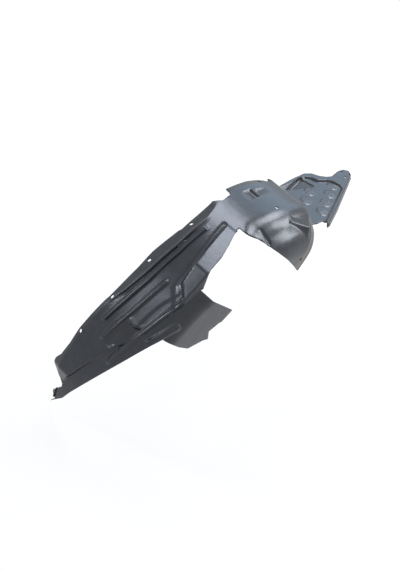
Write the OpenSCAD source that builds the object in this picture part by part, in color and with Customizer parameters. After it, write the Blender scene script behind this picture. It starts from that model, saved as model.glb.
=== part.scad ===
// Front wheel arch liner, left side: one moulded plastic sheet that bends over the wheel.
// It is drawn in the arch frame, with the wheel axis on the third axis: first axis forward,
// second axis up, third axis inboard. The last step turns it upright, +X forward, +Y outboard,
// +Z up, with the origin at the centre of the front ear's holes.

/* [Sheet] */
// Wall thickness of the moulded sheet
wall = 2.5; // [2:0.1:3.2]
// Radius of the arch at its outer face
arch_r = 360; // [340:1:380]
// How far the sheet reaches inboard of the body side
sheet_w = 165; // [155:1:175]

/* [Outer flange] */
// Inboard distance of the crease where the flange begins
crease_v = 50; // [46:1:54]
// Inboard distance of the flange's free edge
lip_v = 30; // [26:1:34]
// How much lower than the arch the flange's free edge lies
flange_drop = 7; // [4:0.5:10]
// Radius of the fixing holes along the flange
lip_hole_r = 3.5; // [2.5:0.25:4.5]

/* [Rear leg] */
// Angle at which the raised part of the leg ends, 180 being level with the axle
leg_end = 168.3; // [167:0.1:169.5]
// How far the facet at that end is bent inwards
foot_bend = 30; // [24:1:34]
// Drop from the leg's raised part to its lower inboard strip, at the foot
strip_drop = 15; // [10:0.5:20]
// Height of the beads that run along the leg
bead_h = 5; // [3:0.5:7]
// Width of the beads
bead_w = 11; // [8:0.5:13]
// Depth of the two-part recess between the beads
recess_d = 7; // [4:0.5:9]

/* [Strut box] */
// Angle at which the flat top of the strut box leaves the arch
box_start = 105; // [103:0.5:107]
// Length of the flat top along the leg
box_len = 104; // [96:1:112]
// Length of the sloping facet behind the flat top
box_ramp = 34; // [28:1:40]
// How far the flat top stands off the arch where it begins
box_rise = 3; // [2:0.5:4]

/* [Shoulder] */
// Radius at which the front of the arch rounds over into its inner wall
shoulder_r = 72; // [64:1:80]
// Radius between the leg and the rear inner wall
rear_fillet = 40; // [34:1:46]
// Forward distance of the front wall
front_x = 107; // [103:1:111]
// Radius of the edge between the arch top and the front wall
front_r = 34; // [26:1:40]

// Depth of the pockets beside the crown's flange
crown_pocket_d = 9; // [6:0.5:11]
// How far below the arch the ledge on the shoulder lies
ledge_drop = 3; // [2:0.5:5]

/* [Front panel] */
// How far the panel lies below the crown of the arch
panel_drop = 60; // [56:1:66]
// Length of the panel ahead of the front wall
panel_len = 240; // [228:1:252]
// Depth of the panel's field below its border
field_d = 6; // [4:0.5:8]
// Height of the turned-down rim
rim_h = 9; // [9:0.5:14]
// Height of the six-sided bosses
hex_h = 2.5; // [1.5:0.25:3.5]
// Half width of a six-sided boss
hex_r = 14; // [11:0.5:15]
// Radius of the holes in the ear
ear_hole_r = 3; // [2:0.25:4]
// Radius of the circle on which the ear's three holes lie
ear_pitch_r = 10; // [8.5:0.5:11]

/* [Hidden] */
$fn = 48;
// Sides of the large drums, so that the thin sheet keeps its true volume
round_n = 160;
// Allowance by which bodies and cuts run past what they trim
clear = 20;
deep = arch_r + 2 * clear;
panel_z = arch_r - panel_drop;
// The outlines are sketched round an arch of 360 mm and a sheet 165 mm wide, and follow both
along = arch_r / 360;
across = sheet_w / 165;
// Radius inside which nothing is left of the forms
core_r = 0.48 * arch_r;
// Centre of the ear's holes: forward, up, inboard
ear = [front_x + panel_len - 21 * panel_len / 240, panel_z, 40 * across];
// Leg features are sketched on a plane that touches the arch here
leg_t = 135;
// The arch's crown narrows its flange to this crease
crown_crease = lip_v - 5;

function polar(r, t) = [r * cos(t), r * sin(t)];

// Sketch points that follow the arch's radius and the sheet's width
function sketch(points) = [for (p = points) [p.x * along, p.y * across]];

// Sketch points of the flange's free edge
function lip(points) = [for (p = points) [p.x * along, lip_v + (p.y - 30) * across]];

// Points seen from the side, as (from the front wall, up)
function from_front(points) = [for (p = points) [front_x + p.x * along, p.y * along]];

// Points of the panel in plan, as (from the front wall, inboard)
function on_panel(points) = [for (p = points) [front_x + p.x * panel_len / 240, p.y * across]];

// Points moved away from their middle by o in both directions
function grow(points, o) =
  let (c = [for (i = [0, 1]) [for (p = points) 1] * [for (p = points) p[i]] / len(points)])
  [for (p = points) p + o * [sign(p.x - c.x), sign(p.y - c.y)]];

// Turns a section drawn as (radius, inboard) about the wheel axis from t0 to t1
module turn(t0, t1) {
  rotate([0, 0, t0]) rotate_extrude(angle = t1 - t0, $fn = round_n) children();
}

// Section of the arch with its rounded inboard corner and sloping flange, grown inwards by o
module arch_section(o, fillet, crease) {
  r = arch_r - o;
  w = sheet_w - o;
  f = fillet - o;
  k = flange_drop / (crease_v - lip_v);
  difference() {
    union() {
      translate([core_r - o, -clear - o]) square([r - f - core_r + o, w + clear + o]);
      translate([core_r - o, -clear - o]) square([r - core_r + o, w - f + clear + o]);
      translate([r - f, w - f]) circle(r = f);
    }
    polygon([
      [r, crease], [r + clear, crease], [r + clear, -2 * clear], [r - k * (crease + 2 * clear), -2 * clear]
    ]);
  }
}

// Side outline with the rounded front edge
module side_outline(o) {
  c = front_x - front_r;
  h = sqrt(pow(arch_r - front_r, 2) - c * c);
  translate([-deep, -3 * clear]) square([deep + c, deep + 3 * clear]);
  translate([c, h]) circle(r = front_r - o);
  translate([c - wall, -3 * clear]) square([front_r - o + wall, 3 * clear + h]);
}

// Raises a sketch on the leg plane, drawn as (along, inboard), by h above the wheel axis
module from_leg(h) {
  rotate([90, 0, leg_t + 90]) translate([0, 0, core_r]) linear_extrude(h - core_r) children();
}

// Stands a sketch drawn in plan as (forward, inboard) between the heights z0 and z1
module plan(z0, z1) {
  translate([0, z1, 0]) rotate([90, 0, 0]) linear_extrude(z1 - z0) children();
}

// Pushes a sketch drawn from the side as (forward, up) from v0 to v1
module side(v0, v1) {
  translate([0, 0, v0]) linear_extrude(v1 - v0) children();
}

// Straight bar with round ends
module bar(a, b, r) {
  t = atan2(b[1] - a[1], b[0] - a[0]);
  polygon([
    for (k = [0:6]) b + polar(r, t - 90 + 30 * k),
    for (k = [0:6]) a + polar(r, t + 90 + 30 * k)
  ]);
}

// Solid drum about the wheel axis
module drum(r) {
  translate([0, 0, -3 * clear]) cylinder(r = r, h = deep, $fn = round_n);
}

// Centre lines of the beads on the leg plane, each as start, end
BEADS = [
  sketch([[79, 53], [-146, 68]]),
  sketch([[104, 70], [-34, 90]]),
  sketch([[88, 108], [-28, 137]]),
  sketch([[62, 143], [8, 154]])
];

module beads(o) {
  for (b = BEADS) intersection() {
    turn(100, 160) arch_section(o - bead_h, rear_fillet, crease_v);
    from_leg(deep) bar(b[0], b[1], bead_w / 2 - o);
  }
}

// Flat-topped box beside the strut opening, with a facet that slopes back to the leg
module strut_box(o) {
  a = polar(arch_r + box_rise - o, box_start);
  b = a + polar(box_len, box_start + 90);
  c = b + polar(box_ramp, atan2(b[1], b[0]) + 90 + 30);
  intersection() {
    side(3 * clear, sheet_w + clear) polygon([
      a, b, c, polar(arch_r - 3 * clear - o, 132), polar(arch_r - 3 * clear - o, box_start)
    ]);
    plan(core_r, deep + clear) polygon(grow([
      [-96 * along, sheet_w - 81], [b.x - 8, sheet_w - 53], [c.x - 11, sheet_w - 49],
      [c.x - 25, sheet_w - 24], [-96 * along, sheet_w - 24]
    ], -o));
  }
}

// Everything inside the sheet's face when o is 0, and inside its back when o is the wall
module form(o) {
  difference() {
    intersection() {
      union() {
        turn(101, 187 + o) arch_section(o, rear_fillet, crease_v);
        turn(50 - o, 102 - 0.16 * o) arch_section(o, shoulder_r, crown_crease);
      }
      side(-5 * clear, deep) side_outline(o);
    }
    inboard_strip(o);
    leg_recess(o);
    crown_pocket(o);
  }
  beads(o);
  strut_box(o);
  shoulder_ledge(o);
}

// The lower strip beside and below the leg's raised part, which ends in a facet bent inwards.
// The strip is a cylinder of the arch's radius with its centre moved, so the drop grows to the foot.
module inboard_strip(o) {
  k = strip_drop / sin(30);
  a = polar(arch_r, leg_end) - polar(o, leg_end + foot_bend);
  difference() {
    union() {
      from_leg(deep) translate([-o, -o]) polygon(sketch([
        [60, 113], [110, 86], [206, 40], [330, -19], [330, 260], [60, 260]
      ]));
      side(-5 * clear, deep) polygon([
        a + polar(1.5 * clear, leg_end + foot_bend - 90), a + polar(8 * clear, leg_end + foot_bend + 90),
        a + polar(10 * clear, leg_end + foot_bend + 30), a + polar(3 * clear, leg_end + foot_bend)
      ]);
    }
    translate([0.559 * k, 0.829 * k, 0]) drum(arch_r - o);
  }
}

// Recess between the beads, in two steps
module leg_recess(o) {
  difference() {
    from_leg(deep) union() {
      polygon(grow(sketch([[56, 80], [60, 103], [112, 90], [110, 76]]), o));
      polygon(grow(sketch([[62, 96], [60, 112], [106, 104], [105, 84]]), o));
    }
    drum(arch_r - recess_d - o);
  }
}

// Two pockets beside the crown's flange, which ramp down towards each other
module crown_pocket(o) {
  top = arch_r + clear;
  side(38 * across - o, 58 * across + o) polygon([
    [-16 * along - o * 2, top], [-16 * along - o * 2, arch_r],
    [10 * along + o, arch_r - crown_pocket_d - o], [11 * along + o, top]
  ]);
  side(42 * across - o, 57 * across + o) polygon([
    [17 * along - o, top], [18 * along - o, arch_r - crown_pocket_d + 2 - o],
    [44 * along + o * 2, arch_r - crown_pocket_d / 2], [44 * along + o * 2, top]
  ]);
}

// Flat ledge that carries the crown on over the rounded shoulder
module shoulder_ledge(o) {
  intersection() {
    drum(arch_r - ledge_drop - o);
    plan(panel_z - 2 * clear, deep + clear)
      polygon(grow(sketch([[36, 106], [92, 114], [62, 152], [24, 131]]), -o));
  }
}

module shell() {
  difference() {
    form(0);
    form(wall);
    flange_outline();
    strut_opening();
    inner_wall_outline();
    leg_outline();
    front_corner();
    below_front_wall();
    fixing_holes();
  }
}

// Round holes square to the sheet, each as angle about the axle and inboard distance
module fixing_holes() {
  for (h = [[155.3, 22.5], [142.2, 33], [128, 33], [112, 36], [82.3, 26], [75, 22]])
    rotate([0, 90, h[0]]) translate([-lip([h])[0].y, 0, arch_r - 1.5 * clear])
      cylinder(r = lip_hole_r, h = 2.5 * clear);
  // Crown hole, and the hole low on the front inner wall
  translate([17 * along, arch_r + clear, 97 * across]) rotate([90, 0, 0])
    cylinder(r = lip_hole_r, h = 2.5 * clear);
  translate([front_x - 55 * along, 277 * along, sheet_w - clear]) cylinder(r = lip_hole_r, h = 2 * clear);
}

// What lies outboard of the flange's free edge, and past the foot
module flange_outline() {
  from_leg(deep) polygon(concat(
    lip([[-205, -90], [-205, 16], [-190, 24], [-121, 30], [-58, 25], [-21, 29], [24, 19], [46, 27], [122, 16]]),
    sketch([
      [176, 8], [187, -3], [197, -4], [216, 32], [221, 33], [237, 15], [243, 20], [246, 26], [261, 7],
      [262, 70], [340, 70], [340, -90]
    ])
  ));
  plan(core_r, deep + clear) polygon(lip([
    [-72, -90], [-72, 22], [-60, 34], [-36, 30], [-28, 12], [27, 12], [54, 18], [66, 28], [80, 30],
    [87, 17], [99, 13], [104, 19], [106, 34], [120, 34], [120, -90]
  ]));
}

// Opening for the strut, from above and from the side
module strut_opening() {
  plan(289 * along, deep + clear) polygon(sketch([
    [-68, 117], [-90, 103], [-100, 105], [-124, 117], [-154, 130], [-186, 138], [-200, 146],
    [-200, 300], [-64, 300], [-64, 121]
  ]));
}

// What lies below the two inner walls, behind and ahead of the strut
module inner_wall_outline() {
  side(100 * across, deep) polygon(concat(
    along * [
      [-91, 340], [-92, 335], [-150, 312], [-203, 291], [-184, 273], [-115, 225], [-137, 204],
      [-161, 193], [-155, 172], [-169, 175], [-207, 173], [-235, 189], [-256, 204], [-273, 214], [-273, -60]
    ],
    from_front([[0, -60], [13, -60], [13, 244], [-45, 244], [-59, 257]]),
    along * [[6, 293], [-25, 317], [-52, 336], [-66, 347], [-68, 340]]
  ));
}

// The leg's inboard edge, straight when seen from behind
module leg_outline() {
  translate([-272 * along, 0, 0]) rotate([0, -90, 0]) linear_extrude(deep / 2) polygon([
    for (p = [
      [150, 211], [52, 33], [41, 10], [24, -10], [7, -32], [7, -90], [300, -90], [300, 300],
      [220, 300], [165, 238]
    ]) [p.x * across, p.y * along]
  ]);
}

// The front inboard corner, from the front wall down to the inner wall's tip
module front_corner() {
  side(118 * across, deep) polygon(from_front([
    [13, 345], [0, 342], [-2, 330], [-10, 320], [-19, 305], [-30, 269], [-45, 240], [13, 240]
  ]));
}

module below_front_wall() {
  translate([front_x - clear, 0, -3 * clear])
    cube([3 * clear, panel_z - field_d - wall, 3 * clear + 118 * across]);
}

// Outline of the panel and of its sunk field, in plan
PANEL = concat(
  [[front_x - wall, 8 * across]],
  on_panel([
    [48, 3], [90, -2], [133, -4], [151, 3], [161, 16], [172, 24], [184, 28], [211, 22], [229, 23],
    [240, 34], [233, 48], [206, 62], [112, 109], [90, 119], [59, 133], [45, 133], [12, 150]
  ]),
  [[front_x - wall, 118 * across]]
);
FIELD = concat(
  [[front_x - 5 * wall, 16 * across]],
  on_panel([[125, 8], [137, 16], [143, 28], [164, 37], [177, 60], [174, 69], [53, 126]]),
  [[front_x - 5 * wall, 104 * across]]
);

// Six-sided bosses in rows along the field's front border
module hexes(o) {
  for (i = [0:3], j = [0:1]) {
    p = [166 - 30 * i - 34 * j, 53 + 15.5 * i - 23 * j];
    if (p.x > 58 && p.y > 40) translate(on_panel([p])[0]) rotate(-27) circle(r = hex_r - o, $fn = 6);
  }
}

// The panel's solid under its face, grown inwards by o
module panel_form(o) {
  difference() {
    plan(panel_z - rim_h - o, panel_z - o) intersection() {
      polygon(PANEL);
      translate([o, o]) polygon(PANEL);
      translate([-o, o]) polygon(PANEL);
      translate([o, -o]) polygon(PANEL);
      translate([-o, -o]) polygon(PANEL);
    }
    plan(panel_z - field_d - o, panel_z + clear) {
      polygon(FIELD);
      if (o > 0) for (s = [-o, o]) translate([s, 0]) polygon(FIELD);
      if (o > 0) for (s = [-o, o]) translate([0, s]) polygon(FIELD);
    }
  }
  plan(panel_z - field_d - o - wall / 2, panel_z - field_d + hex_h - o) hexes(o);
}

module panel() {
  difference() {
    panel_form(0);
    panel_form(wall);
    for (a = [22, 142, 262])
      translate([ear.x + ear_pitch_r * cos(a), panel_z + wall, ear.z + ear_pitch_r * sin(a)])
        rotate([90, 0, 0]) cylinder(r = ear_hole_r, h = clear);
  }
}

module liner() {
  color([0.23, 0.25, 0.27]) translate([-ear.x, ear.z, -ear.y]) rotate([90, 0, 0]) {
    shell();
    panel();
  }
}

liner();
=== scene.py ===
import math

import bmesh
import bpy
import numpy as np
from mathutils import Matrix, Vector


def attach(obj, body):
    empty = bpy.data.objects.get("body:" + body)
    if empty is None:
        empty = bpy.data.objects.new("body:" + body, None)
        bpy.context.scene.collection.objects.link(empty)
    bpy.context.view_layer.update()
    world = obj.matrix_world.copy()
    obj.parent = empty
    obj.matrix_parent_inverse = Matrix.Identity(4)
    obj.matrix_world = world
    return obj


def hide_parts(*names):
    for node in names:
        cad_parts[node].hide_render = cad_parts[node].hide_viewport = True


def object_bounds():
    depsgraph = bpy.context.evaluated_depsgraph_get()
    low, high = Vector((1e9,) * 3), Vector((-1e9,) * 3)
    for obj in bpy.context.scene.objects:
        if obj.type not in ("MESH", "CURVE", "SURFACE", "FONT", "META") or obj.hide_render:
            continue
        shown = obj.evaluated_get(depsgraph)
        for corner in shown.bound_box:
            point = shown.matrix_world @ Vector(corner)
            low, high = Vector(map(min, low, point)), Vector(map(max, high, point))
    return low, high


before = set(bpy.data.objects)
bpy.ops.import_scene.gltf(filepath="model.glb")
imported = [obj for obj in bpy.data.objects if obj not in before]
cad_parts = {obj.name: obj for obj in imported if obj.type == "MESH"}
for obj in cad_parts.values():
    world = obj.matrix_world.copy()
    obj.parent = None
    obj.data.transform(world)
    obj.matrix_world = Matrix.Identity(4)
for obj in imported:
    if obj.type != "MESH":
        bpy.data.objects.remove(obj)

cad_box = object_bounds()

# The liner is one black plastic sheet, vacuum formed. Before its details it is a drum over the
# wheel that rounds over into the inner walls, bends down at the front edge and runs on as the
# level front panel. It is drawn in millimetres about the wheel axis, with v measured inboard,
# and EAR is the middle of the front ear, where the part's own frame starts.
WALL = 2.5
ARCH_R = 360
SHEET_W = 165
FRONT_X, FRONT_R = 107, 34
PANEL_Z, PANEL_LEN = 300, 245
INSIDE_R = 5
SHOULDER_R, REAR_R = 72, 40
OUTER_V, INNER_RHO = -8, 180
EAR = Vector((326, -40, 300))

# Angles round the wheel axis, in degrees: the foot, the leg's middle, where the leg meets the
# crown, and the front edge
FOOT_T, LEG_T, CROWN_T, EDGE_T = 188, 135, 101, 77


def smooth(a, b, x):
    """0 at a and before, 1 at b and after, with a soft start and end."""
    x = np.clip((x - a) / (b - a), 0, 1)
    return x * x * (3 - 2 * x)


def polar(r, t):
    """Point at radius r and angle t in degrees, as (forward, up)."""
    return r * np.cos(np.radians(t)), r * np.sin(np.radians(t))


def side_profile(q, rho):
    """Point and outward normal on the sheet's side outline for a drum of radius rho.

    q runs 0 to 1 along the drum, to 2 round the front edge, to 3 down the front wall, to 4 round
    the inside corner and to 5 along the panel."""
    cx = FRONT_X - FRONT_R
    cz = np.sqrt((rho - FRONT_R) ** 2 - cx**2)
    t_edge = np.degrees(np.arctan2(cz, cx))
    low = PANEL_Z + INSIDE_R
    t = FOOT_T + (t_edge - FOOT_T) * np.clip(q, 0, 1)
    edge = t_edge * np.clip(2 - q, 0, 1)
    corner = np.radians(90 * np.clip(q - 3, 0, 1))
    zones = [q <= 1, q <= 2, q <= 3, q <= 4, q > 4]
    ex, ez = polar(FRONT_R, edge)
    x = np.select(zones, [
        polar(rho, t)[0], cx + ex, FRONT_X + 0 * q,
        FRONT_X + INSIDE_R * (1 - np.cos(corner)), FRONT_X + INSIDE_R + (q - 4) * PANEL_LEN,
    ])
    z = np.select(zones, [
        polar(rho, t)[1], cz + ez, cz + (low - cz) * (q - 2),
        low - INSIDE_R * np.sin(corner), PANEL_Z + 0 * q,
    ])
    nx = np.select(zones, [polar(1, t)[0], polar(1, edge)[0], 1 + 0 * q, np.cos(corner), 0 * q])
    nz = np.select(zones, [polar(1, t)[1], polar(1, edge)[1], 0 * q, np.sin(corner), 1 + 0 * q])
    return x, z, nx, nz, t


# Rows of faces along each stretch of the side outline, and columns between the knots across it
ROWS = [262, 16, 6, 4, 190]
COLUMNS = [14, 8, 4, 16, 8, 16, 15, 16, 6, 13, 10, 18]
grid = bmesh.new()
bmesh.ops.create_grid(grid, x_segments=sum(ROWS), y_segments=sum(COLUMNS), size=0.5)
mesh = bpy.data.meshes.new("liner_sheet")
grid.to_mesh(mesh)
grid.free()
coords = np.zeros(len(mesh.vertices) * 3)
mesh.vertices.foreach_get("co", coords)
row, column = coords.reshape(-1, 3)[:, 0] + 0.5, coords.reshape(-1, 3)[:, 1] + 0.5
q = np.interp(row * sum(ROWS), np.cumsum([0] + ROWS), range(len(ROWS) + 1))

# The columns gather along the beads and the flange's crest, whose lines are given on the leg
# plane as inboard distances at places along the leg. On the crown they spread out.
CREST = [
    (-240, 30), (-200, 34), (-162, 48), (-99, 54), (-32, 52), (-6, 49), (23, 44), (60, 33), (184, 20),
]
BEADS = [
    [(-240, 60), (-146, 63), (-86, 66), (-17, 64), (27, 58), (79, 48), (260, 28)],
    [(-240, 104), (-32, 91), (5, 86), (38, 81), (104, 66), (260, 44)],
    [(-240, 146), (-28, 137), (1, 132), (43, 123), (88, 112), (130, 99), (260, 64)],
    [(-240, 163), (10, 155), (22, 152), (42, 147), (62, 140), (260, 92)],
]
t_row = FOOT_T + (EDGE_T - FOOT_T) * np.clip(q, 0, 1)
u_row = ARCH_R * np.sin(np.radians(t_row - LEG_T))
on_leg = smooth(100, 113, t_row)
at_leg = [np.interp(u_row, *zip(*CREST))] + [np.interp(u_row, *zip(*line)) for line in BEADS]
round_r = SHOULDER_R + (REAR_R - SHOULDER_R) * smooth(99, 108, t_row)
bend = round_r * math.pi / 2
leg_knots = [at_leg[0] - 4, at_leg[0] + 4]
for line in at_leg[1:]:
    leg_knots += [line - 8, line + 8]
CROWN_KNOTS = [21, 29, 38, 58, 68, 90, 104, 126, 136, 160]
knots = [c + (k - c) * on_leg for k, c in zip(leg_knots, CROWN_KNOTS)]
knots = [0 * q + OUTER_V] + knots + [SHEET_W - round_r + bend]
knots += [knots[-1] + ARCH_R - round_r - INNER_RHO]
station = np.cumsum([0] + COLUMNS) / sum(COLUMNS)
girth = knots[0] + sum(
    np.clip((column - c0) / (c1 - c0), 0, 1) * (k1 - k0)
    for c0, c1, k0, k1 in zip(station, station[1:], knots, knots[1:]))

# Section across the sheet: flat top, rounded corner, inner wall. The corner is tighter behind
# the strut opening than at the front. The panel is flat right across.
PANEL_W = 164
flat = SHEET_W - round_r
turned = np.radians(90 * np.clip((girth - flat) / bend, 0, 1))
down = np.maximum(0, girth - flat - bend)
v = np.minimum(girth, flat) + round_r * np.sin(turned)
rho = ARCH_R - round_r * (1 - np.cos(turned)) - down
x, z, nx, nz, t = side_profile(q, rho)
panel_part = smooth(3.6, 4.0, q)
v = v + (OUTER_V + PANEL_W * column / station[-2] - v) * panel_part
tilt = turned * (1 - panel_part)
normal = np.stack([nx * np.cos(tilt), -np.sin(tilt), nz * np.cos(tilt)], 1)
base = np.stack([x, -v, z], 1)
t = np.where(q <= 1, t, np.degrees(np.arctan2(z, x)))


# The forms pressed into the sheet. Leg features are sketched on the plane that touches the arch
# at the leg's middle, as (along the leg, inboard); the others in plan, as (forward, inboard).
def line_distance(a, b, points):
    """Distance from each (a, b) to a line through the points."""
    nearest = np.full(a.shape, 1e9)
    for (a0, b0), (a1, b1) in zip(points, points[1:]):
        da, db = a1 - a0, b1 - b0
        k = np.clip(((a - a0) * da + (b - b0) * db) / (da * da + db * db), 0, 1)
        nearest = np.minimum(nearest, np.hypot(a - a0 - k * da, b - b0 - k * db))
    return nearest


def inside(a, b, points):
    """How far each (a, b) lies inside the outline, negative outside."""
    odd = np.zeros(a.shape, bool)
    for (a0, b0), (a1, b1) in zip(points, points[1:] + points[:1]):
        if b0 != b1:
            odd ^= ((b0 > b) != (b1 > b)) & (a < a0 + (b - b0) * (a1 - a0) / (b1 - b0))
    return line_distance(a, b, points + points[:1]) * np.where(odd, 1, -1)


u = -(x + z) / math.sqrt(2)
leg = (t > CROWN_T - 1) & (q <= 1)
crown = (t <= CROWN_T) & (q <= 2)
height = np.zeros(len(u))

# Outer flange, with the crest where it begins and a narrow valley beside it. On the crown it
# has one slope from one line.
CROWN_FLANGE_V, CROWN_FLANGE_SLOPE = 25, 0.33
CREST_H, VALLEY_D, VALLEY_V = 2.0, 1.4, 4.5
crest_v = np.interp(u, *zip(*CREST))
flange_slope = np.interp(u, [-200, 40, 90, 170], [0.36, 0.36, 0.25, 0.3])
leg_part = smooth(98, 106, t) * (q <= 1)
height -= flange_slope * np.maximum(0, crest_v - v) * leg_part
crest_part = smooth(-180, -120, u) * (1 - smooth(30, 60, u))
ridge = CREST_H * (1 - smooth(0.5, 3.4, np.abs(v - crest_v)))
valley = VALLEY_D * (1 - smooth(0, 3, np.abs(v - crest_v - VALLEY_V)))
height += np.where(leg, crest_part * (ridge - valley), 0)
height -= CROWN_FLANGE_SLOPE * np.maximum(0, CROWN_FLANGE_V - v) * (1 - leg_part) * (q <= 2)

# Beads along the leg: sloping sides, and a top that is slightly hollow between its two edges
BEAD_HEIGHTS, BEAD_HOLLOW = (5.5, 5.0, 5.0, 4.2), 1.1
for line, bead_h in zip(BEADS, BEAD_HEIGHTS):
    away = line_distance(u, v, line[1:-1])
    rise = bead_h * (1 - smooth(2.8, 6.6, away)) - BEAD_HOLLOW * (1 - smooth(0.4, 2.4, away))
    height += np.where(leg, rise, 0)

# The band inboard of the leg's middle field lies a little below it
BAND = [(-48, 121), (-33, 124), (2, 113), (25, 109), (56, 106), (56, 180), (-48, 180)]
BAND_D = 1.6
height -= np.where(leg, BAND_D * smooth(-1.5, 1.5, inside(u, v, BAND)), 0)

# Lower inboard strip, behind a step that grows towards the foot, and the facet that ends the
# raised part above it
STEP = [(58, 116), (76, 114), (110, 92), (136, 80), (207, 40), (330, -20), (330, 260), (58, 260)]
STRIP_BACK, STRIP_DOWN = 16.8, 24.9
drop = -(STRIP_BACK * np.cos(np.radians(t)) + STRIP_DOWN * np.sin(np.radians(t)))
below = smooth(-2.5, 2.0, inside(u, v, STEP))
strip = ARCH_R - np.maximum(drop, 0)
END_T, END_BEND = 168.3, 30
end_x, end_z = polar(ARCH_R, END_T)
face_x, face_z = polar(1, END_T + END_BEND)
slant = np.maximum(0.2, np.cos(np.radians(t - END_T - END_BEND)))
facet = (end_x * face_x + end_z * face_z) / slant
raised = np.minimum(ARCH_R, np.maximum(facet, strip))
leg_surface = raised * (1 - below) + strip * below
height += np.where(leg, (leg_surface - ARCH_R) * np.where(v < 125, 1, np.cos(turned)), 0)

# Recess between the beads, in two steps, with a low lip round its upper end. It is deepest
# inboard and at that end.
RECESS = [
    [(57, 85), (61, 103), (112, 87), (110, 75)],
    [(62, 94), (54, 114), (104, 104), (104, 88)],
]
sunk = np.maximum(*[smooth(-1.4, 1.4, inside(u, v, outline)) for outline in RECESS])
sunk *= np.clip(3 + 0.3 * (v - 85), 3, 9) * np.interp(u, [57, 112], [1.0, 0.6])
height -= np.where(leg, sunk, 0)
LIP, LIP_H = [(53, 88), (56, 104), (50, 114)], 1.8
height += np.where(leg, LIP_H * (1 - smooth(0, 5, line_distance(u, v, LIP))), 0)

# Box beside the strut opening: a flat top that dips a little at its rear, a facet that starts
# at the kink, and steep sides
BOX_PLAN = [(-97, 84), (-202, 111), (-221, 116), (-236, 142), (-97, 142)]
BOX_T, BOX_H, BOX_BEND = 105, 3.5, 33
KINK_X, KINK_Z = -194.4, 323.7
flat_top = (ARCH_R + BOX_H) / np.maximum(0.3, np.cos(np.radians(t - BOX_T)))
facet_t = BOX_T + BOX_BEND
facing_x, facing_z = polar(1, facet_t)
facet_r = (KINK_X * facing_x + KINK_Z * facing_z) / np.cos(np.radians(t - facet_t))
along_box = ARCH_R * np.tan(np.radians(np.clip(t - BOX_T, 0, 40)))
flat_top -= 0.0003 * np.maximum(0, along_box - 22) ** 2
box_r = np.minimum(flat_top, facet_r)
box_in = inside(box_r * np.cos(np.radians(t)), v, BOX_PLAN)
box_top = np.where(leg, smooth(-3.5, 1.0, box_in), 0)
radial = np.stack([nx, 0 * nx, nz], 1)
lift = np.where(leg, np.maximum(0, box_r - rho - height * np.cos(turned)), 0) * box_top

# A shallow trough runs round the box
TROUGH_PLAN = [(-97, 76), (-200, 103), (-226, 108), (-250, 142), (-97, 142)]
TROUGH_D = 1.8
trough = TROUGH_D * (1 - smooth(0, 5, np.abs(inside(x, v, TROUGH_PLAN))))
height -= np.where(leg, trough * (1 - box_top), 0)

# Crown: two opposed ramps beside the flange, a flat ledge over the shoulder, and a pleat
REAR_RAMP = [(-16, 38), (10, 38), (10, 58), (-16, 58)]
FRONT_RAMP = [(17, 42), (44, 42), (44, 57), (17, 57)]
RAMP_LEN, REAR_RAMP_D, FRONT_RAMP_D = 26, 6, 5
ramp = REAR_RAMP_D * np.clip((x - REAR_RAMP[0][0]) / RAMP_LEN, 0, 1)
height -= np.where(crown, smooth(-1.5, 1.5, inside(x, v, REAR_RAMP)) * ramp, 0)
ramp = FRONT_RAMP_D * np.clip((FRONT_RAMP[1][0] - x) / RAMP_LEN, 0, 1)
height -= np.where(crown, smooth(-1.5, 1.5, inside(x, v, FRONT_RAMP)) * ramp, 0)
LEDGE = [(34, 108), (90, 112), (88, 124), (64, 153), (22, 131)]
LEDGE_POINT = (31, -112, 356)
facing = Vector((0.169, -0.306, 0.937)).normalized()
above = (LEDGE_POINT - base) @ np.array(facing) / (facing.x * nx + facing.z * nz)
on_ledge = smooth(-2.0, 1.0, inside(x, v, LEDGE)) * (q <= 2) * (t < 99)
lift = np.maximum(lift, np.clip(above, 0, 30) * on_ledge)
PLEAT, PLEAT_D = [(-51, 123), (-50, 134), (-45, 144)], 2.4
height -= np.where(crown, PLEAT_D * (1 - smooth(0, 4, line_distance(x, v, PLEAT))), 0)

# A shallow step runs along the crown's front rim
RIM_X, RIM_Z, RIM_LEAN = 62, 240, 0.44
RIM_STEP = 1.8
rim_x = np.minimum(FRONT_X, RIM_X + (base[:, 2] - RIM_Z) * RIM_LEAN)
from_front = rim_x - x
rim_step = RIM_STEP * (1 - smooth(15, 19, from_front))
height -= np.where(crown & (v > CROWN_FLANGE_V), rim_step, 0)

# Forward of the pleat the shoulder sinks a little towards the front edge
SHOULDER_SINK = 4
sink = SHOULDER_SINK * np.clip((x - 2) / 90, 0, 1)
height -= np.where(crown, sink * smooth(0.25, 0.8, turned), 0)

coords = base + normal * height[:, None] + radial * lift[:, None]

# Front panel: sunk field, turned-down rim, six-sided bosses and the pressed scoop
PANEL = [
    (104.5, 8), (155, 3), (197, -2), (240, -4), (258, 3), (268, 16), (279, 24), (291, 28), (318, 22),
    (336, 23), (347, 34), (340, 48), (313, 62), (219, 109), (197, 119), (166, 133), (152, 133), (119, 150),
    (104.5, 118),
]
FIELD = [
    (90, 16), (232, 8), (244, 16), (250, 28), (271, 37), (284, 60), (281, 69), (160, 126), (90, 104),
]
FIELD_D = 4
panel_h = -FIELD_D * smooth(-1.5, 3.5, inside(x, v, FIELD))

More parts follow.
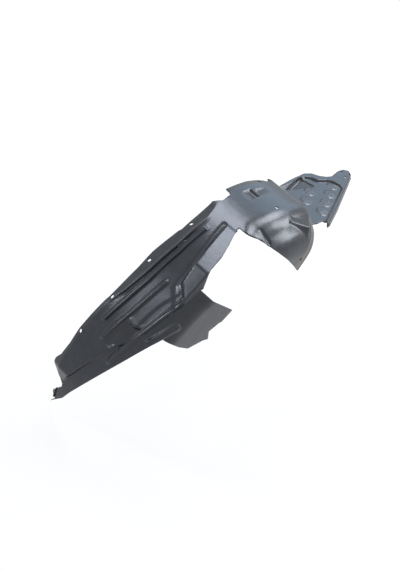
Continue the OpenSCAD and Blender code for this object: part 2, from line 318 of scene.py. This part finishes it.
# Six bosses stand in two rows, with none in the places by the scoop and by the front wall. Each
# fades away towards its inboard corner.
HEX_R, HEX_H, HEX_TURN = 14, 2.0, -27
HEX_X, HEX_V = 273, 53
for i in range(4):
    for j in range(2):
        hex_x, hex_v = HEX_X - 30 * i - 34 * j, HEX_V + 15.5 * i - 23 * j
        if hex_x > 165 and hex_v > 40:
            angles = [math.radians(60 * k + HEX_TURN) for k in range(6)]
            corners = [(hex_x + HEX_R * math.cos(a), hex_v + HEX_R * math.sin(a)) for a in angles]
            fade = np.clip((hex_v + HEX_R - v) / 16, 0, 1)
            panel_h += HEX_H * smooth(-1.6, 1.6, inside(x, v, corners)) * fade
SCOOP = [(168, 18), (222, 5), (233, 37)]
SCOOP_D, SCOOP_RISE, SCOOP_LEN = 16, 9.5, 58
scooped = np.minimum(panel_h, -SCOOP_D + SCOOP_RISE * np.clip((x - SCOOP[0][0]) / SCOOP_LEN, 0, 1))
panel_h = panel_h + (scooped - panel_h) * smooth(-1.5, 1.5, inside(x, v, SCOOP))
PANEL_RIM_H = 9
panel_rim = 1 - smooth(0.3, 4.0, inside(x, v, PANEL))
panel_h = panel_h - PANEL_RIM_H * panel_rim * smooth(112, 118, x)
coords[:, 2] += panel_part * panel_h

mesh.vertices.foreach_set("co", coords.ravel())
mesh.update()

# The sheet is trimmed along its outline, which is drawn on the same sketch planes as its forms.
# Its outer edge is free and wavy, and the strut opening takes most of the rear inner wall.
sheet = bmesh.new()
sheet.from_mesh(mesh)
rows = sheet.verts.layers.float.new("row")
for vert, value in zip(sheet.verts, q):
    vert[rows] = value
UP, FORWARD, INBOARD = Vector((0, 0, 1)), Vector((1, 0, 0)), Vector((0, -1, 0))
ALONG_LEG = Vector((-1, 0, -1)).normalized()


def sketched(face, across, over):
    """Where a face's middle lies on the sketch plane."""
    middle = face.calc_center_median()
    return middle.dot(across), middle.dot(over)


def cut_away(across, over, outline, where=lambda co: True, reach=7.0):
    """Cuts the sheet along an outline drawn on (across, over) and removes what lies inside it.

    The outline runs right through the sheet, so where says which places it may take."""
    here = {f: sketched(f, across, over) for f in sheet.faces}
    for (a0, b0), (a1, b1) in zip(outline, outline[1:] + outline[:1]):
        length = math.hypot(a1 - a0, b1 - b0)
        da, db = (a1 - a0) / length, (b1 - b0) / length
        near = []
        for f in sheet.faces:
            a, b = here.get(f) or sketched(f, across, over)
            beside = abs((b - b0) * da - (a - a0) * db)
            onward = (a - a0) * da + (b - b0) * db
            if beside < reach and -reach < onward < length + reach:
                near.append(f)
        if near:
            edges = {e for f in near for e in f.edges}
            verts = {w for f in near for w in f.verts}
            bmesh.ops.bisect_plane(
                sheet, geom=near + list(edges) + list(verts), dist=1e-3,
                plane_co=across * a0 + over * b0, plane_no=across * -db + over * da)
    middles = [(f, f.calc_center_median()) for f in sheet.faces]
    a = np.array([m.dot(across) for _, m in middles])
    b = np.array([m.dot(over) for _, m in middles])
    gone = inside(a, b, outline) > 0
    faces = [f for (f, m), g in zip(middles, gone) if g and where(m)]
    bmesh.ops.delete(sheet, geom=faces, context="FACES")


# Below the front edge the rounded corner would fold over itself, so it goes first
sheet.verts.ensure_lookup_table()
FOLD_FROM, FOLD_TO, FOLD_V = 1.7, 4.2, 117
folded = [
    f for f in sheet.faces
    if all(FOLD_FROM < w[rows] < FOLD_TO and -w.co.y > FOLD_V for w in f.verts)
]
bmesh.ops.delete(sheet, geom=folded, context="FACES")

FLANGE_CUT = [
    (-201, 21), (-190, 25), (-121, 32), (-114, 30), (-58, 27), (-21, 30), (24, 29), (46, 28), (58, 26),
    (122, 17.5), (153, 17), (177, 12), (188, 4), (197, 4), (216, 32), (221, 33), (237, 15), (243, 20),
    (246, 26), (261, 7), (262, 70), (340, 70), (340, -90), (-201, -90),
]
cut_away(ALONG_LEG, INBOARD, FLANGE_CUT, lambda co: co.x < -60)
CROWN_CUT = [
    (-76, -90), (-76, 22), (-60, 34), (-36, 30), (-28, 12), (27, 12), (54, 18), (66, 28), (80, 30),
    (87, 17), (99, 13), (104, 19), (106, 34), (140, 34), (140, -90),
]
cut_away(FORWARD, INBOARD, CROWN_CUT, lambda co: co.z > 320)
FRONT_WALL_CUT = [(98, -40), (98, 8), (112, 8), (112, -40)]
cut_away(FORWARD, INBOARD, FRONT_WALL_CUT, lambda co: co.z < 321)
STRUT_CUT = [
    (-90, 103), (-100, 105), (-124, 117), (-154, 130), (-186, 138), (-200, 146), (-200, 300), (-90, 300),
]
cut_away(FORWARD, INBOARD, STRUT_CUT, lambda co: co.z > 289)
INNER_WALL_CUT = [
    (-203, 291), (-184, 273), (-115, 225), (-137, 204), (-161, 193), (-155, 172), (-169, 175),
    (-207, 173), (-235, 189), (-256, 204), (-273, 214), (-273, -60), (120, -60), (120, 244),
    (62, 244), (48, 257), (6, 293), (-25, 317), (-52, 336), (-65, 344), (-91, 353), (-92, 335), (-150, 312),
]
cut_away(FORWARD, UP, INNER_WALL_CUT, lambda co: -co.y > 100)
LEG_CUT = [
    (150, 211), (52, 33), (41, 10), (24, -10), (7, -32), (7, -90), (300, -90), (300, 300), (220, 300),
    (165, 238),
]
cut_away(INBOARD, UP, LEG_CUT, lambda co: co.x < -272)
FRONT_RIM_CUT = [(120, 345), (107, 342), (105, 330), (97, 320), (88, 305), (77, 269), (62, 240), (120, 240)]
cut_away(FORWARD, UP, FRONT_RIM_CUT, lambda co: -co.y > 118 and co.x < 108.5)
PANEL_GAPS = [(700, -400), (104.5, -400)] + PANEL + [(104.5, 400), (700, 400)]
cut_away(FORWARD, INBOARD, PANEL_GAPS, lambda co: co.x > 106 and co.z < 302.5)


# Round holes for the push rivets along the flange, at the crown, in the front inner wall and in
# the ear, whose three holes stand on a circle
def drill(at, out, radius):
    """Cuts a round hole of that radius square to the sheet."""
    side = out.orthogonal().normalized()
    over = out.cross(side)
    a, b = at.dot(side), at.dot(over)
    angles = [math.radians(15 * k) for k in range(24)]
    ring = [(a + radius * math.cos(angle), b + radius * math.sin(angle)) for angle in angles]
    cut_away(side, over, ring, lambda co: (co - at).length < 3 * radius, reach=3.0)


RIVET_R, EAR_HOLE_R, EAR_PITCH_R = 3.5, 3, 10
FLANGE_HOLES = [(155.3, 22.5), (142.2, 33), (128, 36), (112, 36), (82.3, 26), (75, 22)]
CROWN_HOLE, WALL_HOLE = Vector((17, -97, 359)), Vector((52, -165, 277))
for hole_t, hole_v in FLANGE_HOLES:
    out = Vector((math.cos(math.radians(hole_t)), 0, math.sin(math.radians(hole_t))))
    drill(out * (ARCH_R - 4) - Vector((0, hole_v, 0)), out, RIVET_R)
drill(CROWN_HOLE, UP, RIVET_R)
drill(WALL_HOLE, INBOARD, RIVET_R)
for angle in (22, 142, 262):
    ahead, inboard = polar(EAR_PITCH_R, angle)
    drill(EAR + Vector((ahead, -inboard, 0)), UP, EAR_HOLE_R)

# Loose scraps left by the cuts go, and the pressed edges are softened
SCRAP_FACES = 2000
left = set(sheet.faces)
while left:
    patch, todo = set(), [left.pop()]
    while todo:
        f = todo.pop()
        patch.add(f)
        for e in f.edges:
            for g in e.link_faces:
                if g in left:
                    left.discard(g)
                    todo.append(g)
    if len(patch) < SCRAP_FACES:
        bmesh.ops.delete(sheet, geom=list(patch), context="FACES")
bmesh.ops.remove_doubles(sheet, verts=sheet.verts, dist=0.02)
inner = [w for w in sheet.verts if not w.is_boundary]
bmesh.ops.smooth_vert(
    sheet, verts=inner, factor=0.35, use_axis_x=True, use_axis_y=True, use_axis_z=True)

bmesh.ops.recalc_face_normals(sheet, faces=sheet.faces)
to_metres = Matrix.Scale(0.001, 4) @ Matrix.Translation(-EAR)
bmesh.ops.transform(sheet, matrix=to_metres, verts=sheet.verts)
sheet.to_mesh(mesh)
sheet.free()
liner = bpy.data.objects.new("liner_sheet", mesh)
bpy.context.scene.collection.objects.link(liner)
for polygon in mesh.polygons:
    polygon.use_smooth = True
thick = liner.modifiers.new("wall", "SOLIDIFY")
thick.thickness = WALL / 1000
thick.offset = -1
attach(liner, "root")
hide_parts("liner")


class Shade:
    """A socket of a shader. Sums of them add Math nodes, so a pattern reads as a formula."""

    def __init__(self, tree, socket=None):
        self.tree, self.socket = tree, socket

    def node(self, kind, settings, sockets, out=0):
        """A new node, with its settings first and then the values or links of its sockets."""
        made = self.tree.nodes.new(kind)
        for name, value in settings.items():
            setattr(made, name, value)
        for name, value in sockets.items():
            if isinstance(value, Shade):
                self.tree.links.new(value.socket, made.inputs[name])
            else:
                made.inputs[name].default_value = value
        return Shade(self.tree, made.outputs[out])

    def maths(self, operation, first, second):
        return self.node("ShaderNodeMath", {"operation": operation}, {0: first, 1: second})

    def __add__(self, other):
        return self.maths("ADD", self, other)

    def __mul__(self, other):
        return self.maths("MULTIPLY", self, other)

    def __sub__(self, other):
        return self.maths("SUBTRACT", self, other)

    def __rsub__(self, other):
        return self.maths("SUBTRACT", other, self)

    __radd__ = __add__
    __rmul__ = __mul__

    def between(self, low, high):
        """0 up to low and 1 from high on, with soft ends."""
        ends = {"Value": self, "From Min": low, "From Max": high}
        return self.node("ShaderNodeMapRange", {"interpolation_type": "SMOOTHSTEP"}, ends)

    def noise(self, per_metre, detail, squeeze=(1, 1, 1)):
        """Noise of about that many grains a metre, with more of them along a squeezed axis."""
        where = self.node("ShaderNodeMapping", {}, {"Vector": self, "Scale": squeeze})
        grain = {"Vector": where, "Scale": per_metre, "Detail": detail}
        return self.node("ShaderNodeTexNoise", {}, grain, "Fac")

    def tint(self, first, second):
        """The first colour where this value is 0, and the second where it is 1."""
        share, colour_a, colour_b, colour_out = 0, 6, 7, 2
        sockets = {share: self, colour_a: first, colour_b: second}
        return self.node("ShaderNodeMix", {"data_type": "RGBA"}, sockets, colour_out)

    def feed(self, node, name):
        self.tree.links.new(self.socket, node.inputs[name])


# The plastic is near black with a blue cast, and semi-gloss. Its gloss is uneven, a painted beige
# reflection of the ground lies on the crown's front rim, which is also rougher there, and the sheet
# is a little wavy, which breaks up what it mirrors.
BLACK, WORN, PAINTED_BEIGE_REFLECTION = (0.009, 0.013, 0.020, 1), (0.020, 0.025, 0.032, 1), (0.13, 0.105, 0.085, 1)
WAVE_H = 0.0007
plastic = bpy.data.materials.new("moulded_plastic")
plastic.use_nodes = True
shader = plastic.node_tree.nodes["Principled BSDF"]
spot = Shade(plastic.node_tree).node("ShaderNodeTexCoord", {}, {}, "Object")
forward, up = (spot.node("ShaderNodeSeparateXYZ", {}, {"Vector": spot}, axis) for axis in "XZ")
forward, up = forward * 1000 + EAR.x, up * 1000 + EAR.z
cloud = spot.noise(24, 2.0)
mottle = spot.noise(70, 1.0)
scuffs = spot.noise(60, 5.0, (1, 9, 2)).between(0.62, 0.74)

# The band of painted beige reflection is wider towards the rim's foot, and stops there and at the front
# edge
from_rim = (RIM_X + (up - RIM_Z) * RIM_LEAN) - forward - (300 - up).between(0, 60) * 22
beside_rim = 1 - (from_rim + (mottle - 0.5) * 14).between(6, 24)
painted_reflection_band = beside_rim * (1 - forward.between(FRONT_X, FRONT_X + 4)) * up.between(225, 245)

tone = (mottle.between(0.35, 0.75) * 0.5 + scuffs * 0.5).tint(BLACK, WORN)
# Painted reflection: the beige band is mixed into the base colour, and it also raises the roughness
(painted_reflection_band * 0.85).tint(tone, PAINTED_BEIGE_REFLECTION).feed(shader, "Base Color")
(0.19 + cloud * 0.06 + mottle * 0.04 + scuffs * 0.08 + painted_reflection_band * 0.2).feed(shader, "Roughness")
spot.node("ShaderNodeBump", {}, {"Height": cloud * WAVE_H, "Distance": 1.0}).feed(shader, "Normal")
mesh.materials.append(plastic)

# The studio: a wide white floor that keeps the liner's shadow, under a white world. Both look
# plain white to the camera and in what the liner mirrors, without more light on the liner.
floor_mesh = bpy.data.meshes.new("floor")
floor_bm = bmesh.new()
bmesh.ops.create_grid(floor_bm, x_segments=1, y_segments=1, size=6)
FLOOR_GAP = 0.002
bmesh.ops.translate(floor_bm, vec=(0, 0, cad_box[0].z - FLOOR_GAP), verts=floor_bm.verts)
floor_bm.to_mesh(floor_mesh)
floor_bm.free()
floor = bpy.data.objects.new("floor", floor_mesh)
bpy.context.scene.collection.objects.link(floor)
white = bpy.data.materials.new("pale_floor")
white.use_nodes = True
surface = white.node_tree.nodes["Principled BSDF"]
surface.inputs["Base Color"].default_value = (0.9, 0.9, 0.9, 1)
surface.inputs["Roughness"].default_value = 0.9


def background_rays(tree):
    """1 for the rays that look at the background: those of the camera, of gloss and of glass."""
    names = ("Is Camera Ray", "Is Glossy Ray", "Is Transmission Ray")
    camera, gloss, glass = (Shade(tree).node("ShaderNodeLightPath", {}, {}, name) for name in names)
    return camera + gloss + glass


glow = Shade(white.node_tree).node("ShaderNodeEmission", {}, {"Strength": 1.0})
lit = Shade(white.node_tree, surface.outputs[0])
share = background_rays(white.node_tree) * 0.8
shown = lit.node("ShaderNodeMixShader", {}, {0: share, 1: lit, 2: glow})
shown.feed(white.node_tree.nodes["Material Output"], "Surface")
floor_mesh.materials.append(white)

world = bpy.data.worlds.new("studio")
world.use_nodes = True
sky = world.node_tree.nodes["Background"]
sky.inputs["Color"].default_value = (1, 1, 1, 1)
(0.5 + 0.5 * background_rays(world.node_tree)).feed(sky, "Strength")
bpy.context.scene.world = world
bpy.context.scene.view_settings.view_transform = "Standard"


# The lamps are soft boxes: one overhead, a wide one forward, three that stand side by side as a
# window, and two strips at the rear that draw the bands and the bright edges along the leg.
LINER_MIDDLE = Vector((-0.27, 0.02, -0.05))


def softbox(name, towards, width, height, radiance, color, distance=2.6):
    """Area lamp that shines at the liner from that direction, at a given surface radiance."""
    data = bpy.data.lights.new(name, "AREA")
    data.shape = "RECTANGLE"
    data.size, data.size_y = width, height
    data.energy = radiance * math.pi * width * height
    data.color = color
    lamp = bpy.data.objects.new(name, data)
    bpy.context.scene.collection.objects.link(lamp)
    towards = Vector(towards).normalized()
    lamp.location = LINER_MIDDLE + towards * distance
    lamp.rotation_euler = towards.to_track_quat("Z", "Y").to_euler()


softbox("overhead", (0.29, 0.42, 0.86), 0.75, 1.0, 10.0, (0.8, 0.87, 1.0))
softbox("forward_sky", (0.74, 0.40, 0.54), 1.7, 1.3, 1.8, (0.5, 0.74, 1.0))
for towards in ((0.62, 0.05, 0.78), (0.72, -0.27, 0.62), (0.72, -0.58, 0.38)):
    softbox("window", towards, 0.62, 1.0, 11.0, (0.85, 0.9, 1.0))
softbox("rear_strip", (-0.72, 0.42, 0.55), 0.22, 1.3, 6.0, (0.8, 0.88, 1.0))
softbox("edge_light", (-0.60, 0.68, 0.42), 0.35, 1.1, 14.0, (0.85, 0.9, 1.0))

# The camera looks down on the leg from behind and inboard, 2.5 m away and rolled a little, as the
# photograph was taken. It aims at a point under the crown.
CAMERA_AWAY, CAMERA_HEADING, CAMERA_ROLL = 2.5, -58.5, 20.6
AIM = Vector((51.7, 17.8, 70.1))
back = Vector((-0.678, -0.416, 0.606)).normalized()
heading, roll = math.radians(CAMERA_HEADING), math.radians(CAMERA_ROLL)
level = Vector((math.cos(heading), math.sin(heading), 0))
upright = back.cross(level)
right = math.cos(roll) * level + math.sin(roll) * upright
top_of_frame = -math.sin(roll) * level + math.cos(roll) * upright
target = (AIM - EAR) / 1000
lens = bpy.data.cameras.new("camera")
lens.lens = 80.7
lens.sensor_width = 36
lens.sensor_fit = "AUTO"
camera = bpy.data.objects.new("camera", lens)
turn = Matrix((right, top_of_frame, back)).transposed().to_4x4()
camera.matrix_world = Matrix.Translation(target + back * CAMERA_AWAY) @ turn
bpy.context.scene.collection.objects.link(camera)
bpy.context.scene.camera = camera
